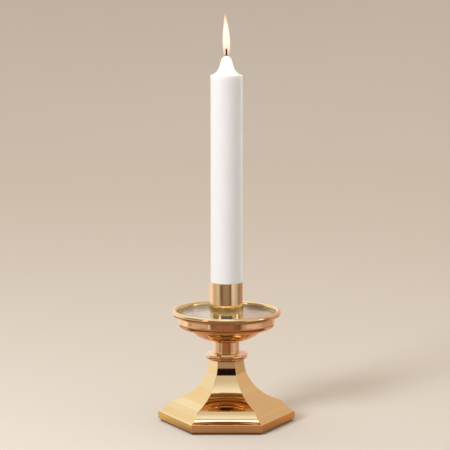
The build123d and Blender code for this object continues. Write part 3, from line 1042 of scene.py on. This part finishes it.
def candle(top):
    """The candle, with its conical tip running smoothly into a round end."""
    radius, low, _ = box_mm("candle_wax")
    shoulder = top - TIP_HEIGHT
    centre = Vector((0, top - TIP_TOP))
    root = Vector((TIP_ROOT[0], shoulder + TIP_ROOT[1]))
    spoke = root - centre
    start = degrees(atan2(spoke.y, spoke.x) + acos(TIP_TOP / spoke.length))
    dome = arc(centre, TIP_TOP, start, TIP_END, steps=14)
    edge = Vector((radius - SHOULDER_EDGE, shoulder + SHOULDER_EDGE))
    chord = edge - root
    bend = chord.angle(root - Vector(dome[0]))
    sag = chord.length / 2 * (1 - cos(bend)) / sin(bend)
    waist = (root + edge) / 2 + Vector((chord.y, -chord.x)).normalized() * sag
    outline = [(CAP_RADIUS, low), (radius - CANDLE_FOOT, low), (radius, low + CANDLE_FOOT)]
    outline += arc((radius - SHOULDER_EDGE, shoulder), SHOULDER_EDGE, 0, 90, steps=5)
    outline += arc_through(tuple(edge), tuple(waist), tuple(root), steps=16)[1:]
    outline += [tuple(root.lerp(Vector(dome[0]), i / CONE_STEPS)) for i in range(1, CONE_STEPS)]
    return skin("candle", [circle(r, z, PLAIN_SEGMENTS) for r, z in outline + dome], hollow=False)


def wick_piece(top):
    """Three twisted strands that taper to a slightly bent, burnt end."""
    radius, _, high = box_mm("candle_wick")
    low = top - WICK_BURIED
    rings = []
    for level in range(WICK_STEPS + 1):
        z = low + (high - low) * level / WICK_STEPS
        size = radius * min(1.0, WICK_END + (1 - WICK_END) * sqrt((high - z) / WICK_TAPER))
        bend = WICK_BEND * max(0.0, (z - top) / (high - top)) ** 2
        ring = []
        for i in range(WICK_SEGMENTS):
            angle = 2 * pi * i / WICK_SEGMENTS
            lobe = 1 + WICK_LOBE * cos(WICK_STRANDS * angle + WICK_TWIST * z)
            ring.append((bend + size * lobe * cos(angle), size * lobe * sin(angle), z))
        rings.append(ring)
    return skin("wick", rings, hollow=False)


def smooth_stations(stations, steps):
    """Points between stations, by a curve that passes through them."""
    padded = [stations[0]] + stations + [stations[-1]]
    points = []
    for around in zip(padded, padded[1:], padded[2:], padded[3:]):
        for i in range(steps):
            t = i / steps
            points.append(tuple(
                q + 0.5 * t * (r - p + t * (2 * p - 5 * q + 4 * r - s + t * (3 * (q - r) + s - p)))
                for p, q, r, s in zip(*around)))
    return points + [stations[-1]]


def flame_piece(top):
    """The flame, which leans a little to one side as it rises."""
    highest = box_mm("candle_flame")[2]
    levels = [(min(top + z, highest), x, r) for z, x, r in smooth_stations(FLAME, steps=4)]
    return skin("flame", [circle(r, z, FLAME_SEGMENTS, x) for z, x, r in levels], hollow=False)


# ---- The scene ----

camera()
studio()
soft_lamp("key", **KEY)
floor = sweep()
leave_unlit(soft_lamp("fill", **FILL), floor)
table()

wax_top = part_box("candle_wick")[1].z - WICK_SHOWN * MM
floor_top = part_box("drip_pan")[0].z + SHEET * MM
flame_low, flame_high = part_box("candle_flame")
polished = brass("brass", lines_round_axis=True)
# The socket has a fainter painted shade in its hollows
bright = brass("brass_socket", lines_round_axis=True, hollow_shade=BRASS_FAINT_HOLLOW_SHADE)
steel = zinc_steel()

dress(base(), "stand", brass("brass_cast", lines_round_axis=False), "brass", "base_casting")
dress(knop(), "stand", polished, "brass", "knop_ring")
dress(neck(), "stand", polished, "brass", "neck_spool")
dress(cup(), "stand", polished, "brass", "pan_cup")
dress(drum(), "stand", polished, "brass", "pan_drum")
dress(pan(), "stand", pan_brass(floor_top), "pan_brass", "drip_pan")
dress(tube(), "socket", bright, "brass", "socket_tube")
dress(plug(), "socket", bright, "brass", "socket_plug")
dress(rod(), "stand", steel, "zinc_steel", "tie_rod")
dress(candle(wax_top / MM), "candle", wax(wax_top), "wax", "candle_wax")
dress(wick_piece(wax_top / MM), "candle", wick(wax_top), "wick", "candle_wick")
dress(flame_piece(wax_top / MM), "candle", flame(flame_low.z, flame_high.z), "flame", "candle_flame")
paint("felt_pad", felt())
paint("socket_washer", fibre())
for node in ("flat_washer", "lock_washer", "base_nut"):
    paint(node, steel)
